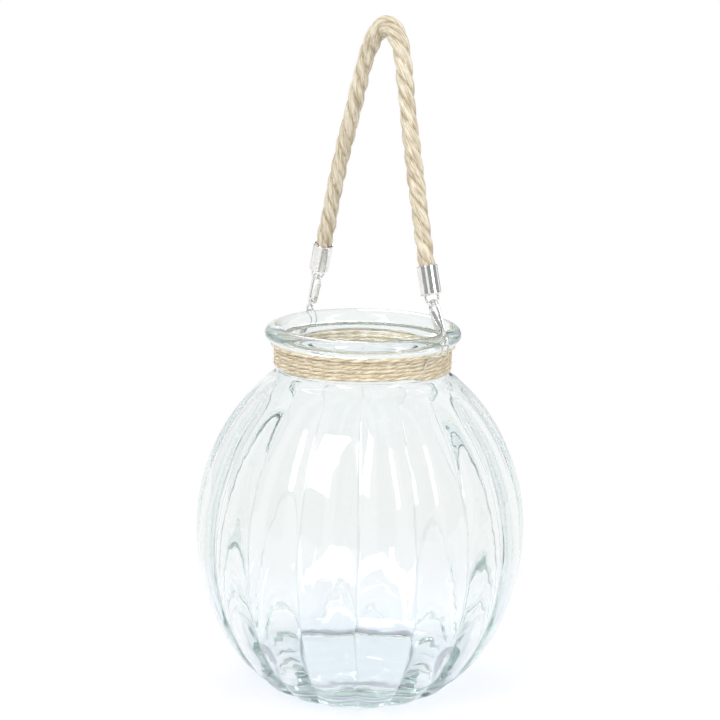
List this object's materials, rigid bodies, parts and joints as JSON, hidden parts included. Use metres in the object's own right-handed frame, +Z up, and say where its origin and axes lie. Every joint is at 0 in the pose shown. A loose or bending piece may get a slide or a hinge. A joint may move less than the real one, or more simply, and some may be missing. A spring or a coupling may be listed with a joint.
{
  "type": "hanging lantern",
  "caption": "Ribbed clear glass jar lantern with jute twine round its neck and a jute rope handle hung on two snap hooks.",
  "frame": {"origin": "middle of the jar's foot, on the surface that it stands on", "axes": "+Z up along the jar's axis; +X from the left ear of the neck wire to the right ear, which is the line that the handle swings about"},
  "size_m": [0.179, 0.1808, 0.3618],
  "materials": {
    "clear_glass": "clear pressed soda glass, faintly green where thick",
    "jute_twine": "natural jute twine, matt and hairy",
    "jute_rope": "natural three-strand jute rope, matt",
    "bright_nickel": "bright nickel plate, polished",
    "steel_wire": "galvanised steel wire, satin"
  },
  "bodies": {
    "jar": {"glass_jar": "clear_glass", "neck_twine": "jute_twine", "neck_wire": "steel_wire"},
    "right_hook": {"right_snap_hook": "bright_nickel", "right_gate_pin": "steel_wire"},
    "right_gate": {"right_hook_gate": "bright_nickel"},
    "left_hook": {"left_snap_hook": "bright_nickel", "left_gate_pin": "steel_wire"},
    "left_gate": {"left_hook_gate": "bright_nickel"},
    "handle": {"handle_rope": "jute_rope", "right_ferrule": "bright_nickel", "right_ferrule_bail": "bright_nickel", "left_ferrule": "bright_nickel", "left_ferrule_bail": "bright_nickel"}
  },
  "joints": [
    {"name": "left_hook_swing", "type": "hinge", "parent": "jar", "child": "left_hook", "pos_m": [-0.05628, 0.0077, 0.1968], "axis": [1, 0, 0], "range_deg": [-60, 45]},
    {"name": "right_hook_swing", "type": "hinge", "parent": "jar", "child": "right_hook", "pos_m": [0.05628, 0.0077, 0.1968], "axis": [1, 0, 0], "range_deg": [-60, 45]},
    {"name": "handle_swing", "type": "hinge", "parent": "left_hook", "child": "handle", "pos_m": [-0.04906, 0.0077, 0.21969], "axis": [0.9999, 0, -0.0149], "range_deg": [-40, 28]},
    {"name": "right_gate_open", "type": "hinge", "parent": "right_hook", "child": "right_gate", "pos_m": [0.05181, 0.0077, 0.20396], "axis": [0, 1, 0], "range_deg": [0, 11], "stiffness_Nm_per_rad": 0.03, "springref_deg": -5.73},
    {"name": "left_gate_open", "type": "hinge", "parent": "left_hook", "child": "left_gate", "pos_m": [-0.05299, 0.0077, 0.20457], "axis": [0, -1, 0], "range_deg": [0, 11], "stiffness_Nm_per_rad": 0.03, "springref_deg": -5.73}
  ],
  "couplings": [
    {"joint": "right_hook_swing", "follows": "left_hook_swing", "ratio": 1}
  ]
}
